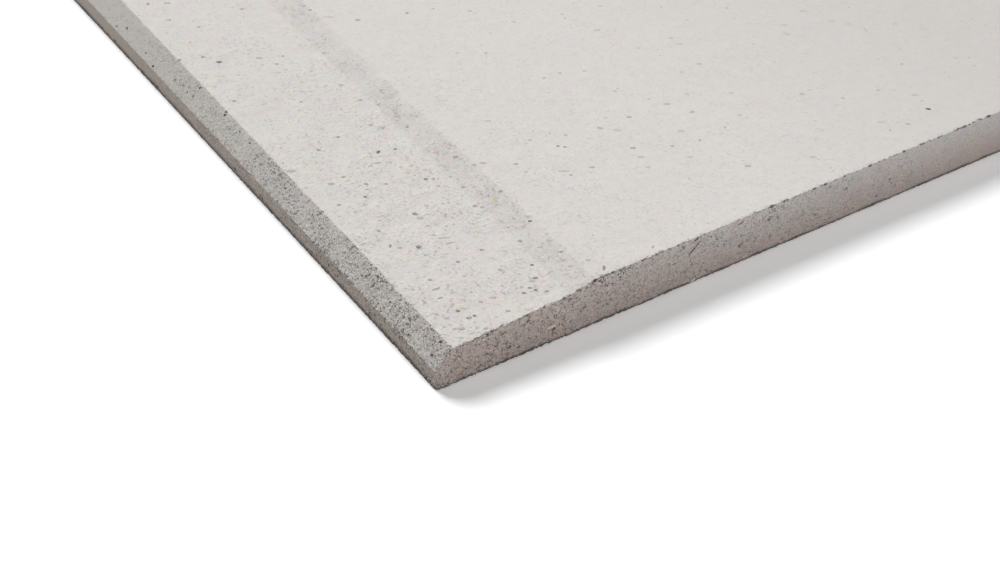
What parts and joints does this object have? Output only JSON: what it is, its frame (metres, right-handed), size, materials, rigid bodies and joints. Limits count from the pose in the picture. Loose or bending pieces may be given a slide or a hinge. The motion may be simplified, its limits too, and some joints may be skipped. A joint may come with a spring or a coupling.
{
  "type": "gypsum fibreboard drywall sheet",
  "caption": "Unfaced gypsum fibreboard sheet for dry lining, with recessed and chamfered long edges and square sawn ends, lying face up.",
  "frame": {"origin": "middle of the back face, on the surface that the sheet lies on", "axes": "+X along the 2 m length, +Y across the width, +Z out of the face side, which has the recessed long edges"},
  "size_m": [2, 1.25, 0.0125],
  "materials": {
    "gypsum_fibre": "matte"
  },
  "bodies": {
    "root": {"gypsum_fibreboard": "gypsum_fibre"}
  },
  "joints": []
}
